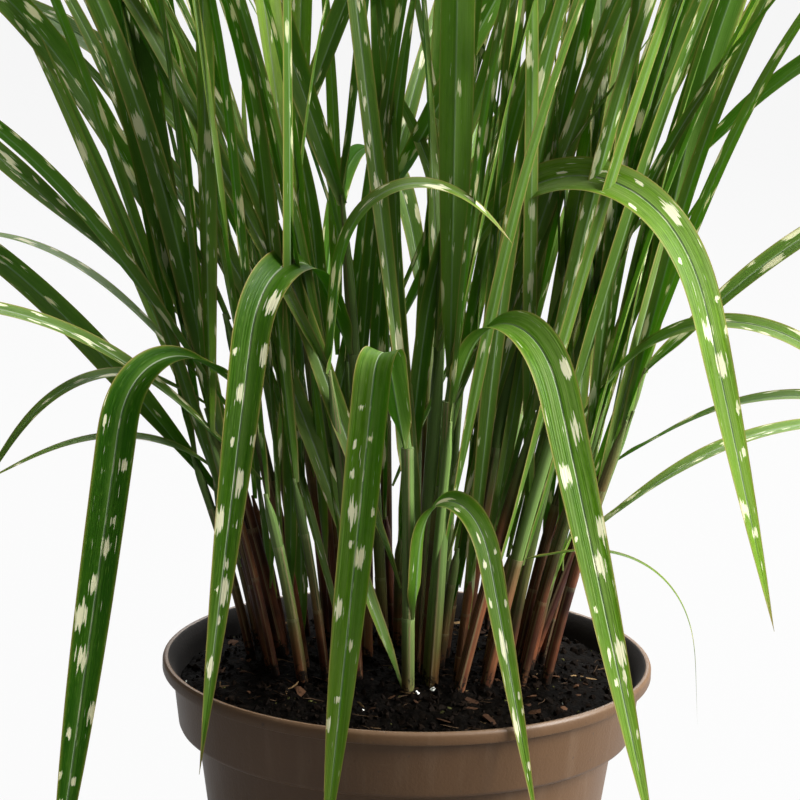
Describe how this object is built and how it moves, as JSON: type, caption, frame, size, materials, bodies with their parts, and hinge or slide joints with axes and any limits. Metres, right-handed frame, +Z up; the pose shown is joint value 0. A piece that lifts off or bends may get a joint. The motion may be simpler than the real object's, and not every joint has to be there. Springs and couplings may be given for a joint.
{
  "type": "potted zebra grass",
  "caption": "Clump of variegated ornamental grass with reedy culms and arching, pale-blotched blades, growing in a round tapered nursery pot of compost.",
  "frame": {"origin": "centre of the flat underside of the pot, on the surface it stands on", "axes": "+Z up the pot's axis, -Y the front, +X to the right seen from the front"},
  "size_m": [0.6804, 0.5029, 0.6425],
  "materials": {
    "pot_plastic": "matte moulded taupe-brown plastic",
    "compost": "moist crumbly compost with fibres and bark",
    "reed": "smooth reedy stem, reddish brown to green",
    "leaf_green": "satin deep green leaf with a white midrib and cream blotches"
  },
  "bodies": {
    "root": {"nursery_pot": "pot_plastic", "potting_soil": "compost", "culm_01": "reed", "culm_02": "reed", "culm_03": "reed", "culm_04": "reed", "culm_05": "reed", "culm_06": "reed", "culm_07": "reed", "culm_08": "reed", "culm_09": "reed", "culm_10": "reed", "culm_11": "reed", "culm_12": "reed", "culm_13": "reed", "culm_14": "reed", "culm_15": "reed", "culm_16": "reed", "culm_17": "reed", "culm_18": "reed", "culm_19": "reed", "culm_20": "reed", "culm_21": "reed", "culm_22": "reed", "leaf_01": "leaf_green", "leaf_02": "leaf_green", "leaf_03": "leaf_green", "leaf_04": "leaf_green", "leaf_05": "leaf_green", "leaf_06": "leaf_green", "leaf_07": "leaf_green", "leaf_08": "leaf_green", "leaf_09": "leaf_green", "leaf_10": "leaf_green", "leaf_11": "leaf_green", "leaf_12": "leaf_green", "leaf_13": "leaf_green", "leaf_14": "leaf_green", "leaf_15": "leaf_green", "leaf_16": "leaf_green", "leaf_17": "leaf_green", "leaf_18": "leaf_green", "leaf_19": "leaf_green", "leaf_20": "leaf_green", "leaf_21": "leaf_green", "leaf_22": "leaf_green", "leaf_23": "leaf_green", "leaf_24": "leaf_green", "leaf_25": "leaf_green", "leaf_26": "leaf_green", "leaf_27": "leaf_green", "leaf_28": "leaf_green", "leaf_29": "leaf_green", "leaf_30": "leaf_green", "leaf_31": "leaf_green", "leaf_32": "leaf_green", "leaf_33": "leaf_green", "leaf_34": "leaf_green", "leaf_35": "leaf_green", "leaf_36": "leaf_green"}
  },
  "joints": []
}
